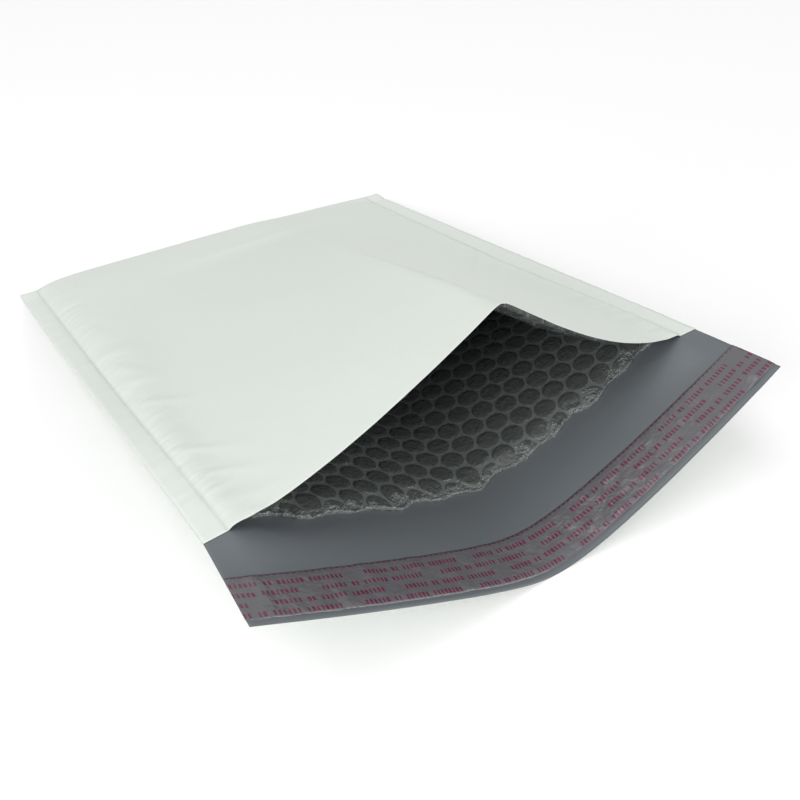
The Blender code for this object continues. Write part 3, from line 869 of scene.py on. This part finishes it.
class ENVELOPE_OT_liner(bpy.types.Operator):
    """Release liner: a thin rucked film with printed rows, over the adhesive"""
    bl_idname = "envelope.liner"
    bl_label = "Release Liner"

    def execute(self, context):
        s = settings()
        ground = linear((0.39, 0.385, 0.40))
        film, tree, shader = rough_plastic(((140.0, 0.7), (520.0, 0.3)), 1.0 * MM,
                                           "release_liner_film", ground, 0.26, 0.6)
        print_rows(tree, shader, ground, s.print_colour)
        obj = band("liner_band", LINER_FROM, LINER_W, 0.4 * MM, 0.8 * MM, film,
                   s.liner_thickness, 0.0)
        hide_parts("release_liner")
        return {"FINISHED"}


def soft_lamp(name, kind, at, size, level):
    """A broad lamp that adds this level to a white surface square to it at the origin."""
    data = bpy.data.lights.new(name, kind)
    if kind == "SUN":
        data.energy, data.angle = level * math.pi, math.radians(size)
    else:
        data.energy, data.size = level * math.pi ** 2 * Vector(at).length_squared, size
    lamp = bpy.data.objects.new(name, data)
    lamp.location = at
    lamp.rotation_euler = (-Vector(at)).to_track_quat("-Z", "Y").to_euler()
    bpy.context.scene.collection.objects.link(lamp)


def white_world(scene):
    """Even light from all round, with a backdrop that the camera sees as white."""
    world = scene.world or bpy.data.worlds.new("world")
    scene.world = world
    world.use_nodes = True
    tree = world.node_tree
    tree.nodes.clear()
    out = tree.nodes.new("ShaderNodeOutputWorld")
    seen = node(tree, "ShaderNodeBackground", Color=(1, 1, 1, 1), Strength=1.0)
    light = node(tree, "ShaderNodeBackground", Color=(1, 1, 1, 1), Strength=WORLD_LEVEL)
    rays = tree.nodes.new("ShaderNodeLightPath")
    mix = tree.nodes.new("ShaderNodeMixShader")
    tree.links.new(rays.outputs["Is Camera Ray"], mix.inputs[0])
    tree.links.new(light.outputs[0], mix.inputs[1])
    tree.links.new(seen.outputs[0], mix.inputs[2])
    tree.links.new(mix.outputs[0], out.inputs["Surface"])


def fitted_camera(scene):
    """Camera turned by its yaw to the right, its pitch down and its roll."""
    data = bpy.data.cameras.new("camera")
    data.lens, data.sensor_width, data.clip_start = CAMERA_LENS, CAMERA_SENSOR, CAMERA_CLIP
    camera = bpy.data.objects.new("camera", data)
    yaw, pitch, roll = (math.radians(a) for a in CAMERA_TURNS)
    forward = Vector((math.sin(yaw) * math.cos(pitch), math.cos(yaw) * math.cos(pitch),
                      -math.sin(pitch)))
    right = Vector((math.cos(yaw), -math.sin(yaw), 0.0))
    down = forward.cross(right)
    side = right * math.cos(roll) + down * math.sin(roll)
    up = right * math.sin(roll) - down * math.cos(roll)
    turn = Matrix((side, up, -forward)).transposed()
    camera.matrix_world = Matrix.Translation(CAMERA_AT) @ turn.to_4x4()
    scene.collection.objects.link(camera)
    scene.camera = camera


class ENVELOPE_OT_stage(bpy.types.Operator):
    """Floor, soft light, white backdrop and the camera"""
    bl_idname = "envelope.stage"
    bl_label = "Stage"

    def execute(self, context):
        bm = bmesh.new()
        bmesh.ops.create_grid(bm, x_segments=1, y_segments=1, size=FLOOR_HALF)
        pale = plastic("pale_floor", (0.98, 0.98, 0.98), 0.9, 0.0)[0]
        floor = get_object("floor", bm, [pale])
        for lamp in LAMPS:
            soft_lamp(*lamp)
        white_world(context.scene)
        fitted_camera(context.scene)
        context.scene.view_settings.view_transform = "Standard"
        return {"FINISHED"}


class ENVELOPE_PT_panel(bpy.types.Panel):
    bl_idname = "ENVELOPE_PT_panel"
    bl_label = "Padded Envelope"
    bl_space_type = "VIEW_3D"
    bl_region_type = "UI"
    bl_category = "Envelope"

    def draw(self, context):
        for name in EnvelopeSettings.__annotations__:
            self.layout.prop(context.scene.envelope, name)
        for kind in OPERATORS:
            self.layout.operator(kind.bl_idname)


OPERATORS = (ENVELOPE_OT_film, ENVELOPE_OT_lining, ENVELOPE_OT_adhesive, ENVELOPE_OT_liner,
             ENVELOPE_OT_stage)
CLASSES = (EnvelopeSettings, *OPERATORS, ENVELOPE_PT_panel)


def register():
    for kind in CLASSES:
        bpy.utils.register_class(kind)
    bpy.types.Scene.envelope = bpy.props.PointerProperty(type=EnvelopeSettings)


def unregister():
    del bpy.types.Scene.envelope
    for kind in reversed(CLASSES):
        bpy.utils.unregister_class(kind)


def main():
    register()
    bpy.ops.envelope.film()
    bpy.ops.envelope.lining()
    bpy.ops.envelope.adhesive()
    bpy.ops.envelope.liner()
    bpy.ops.envelope.stage()


if __name__ == "__main__":
    main()
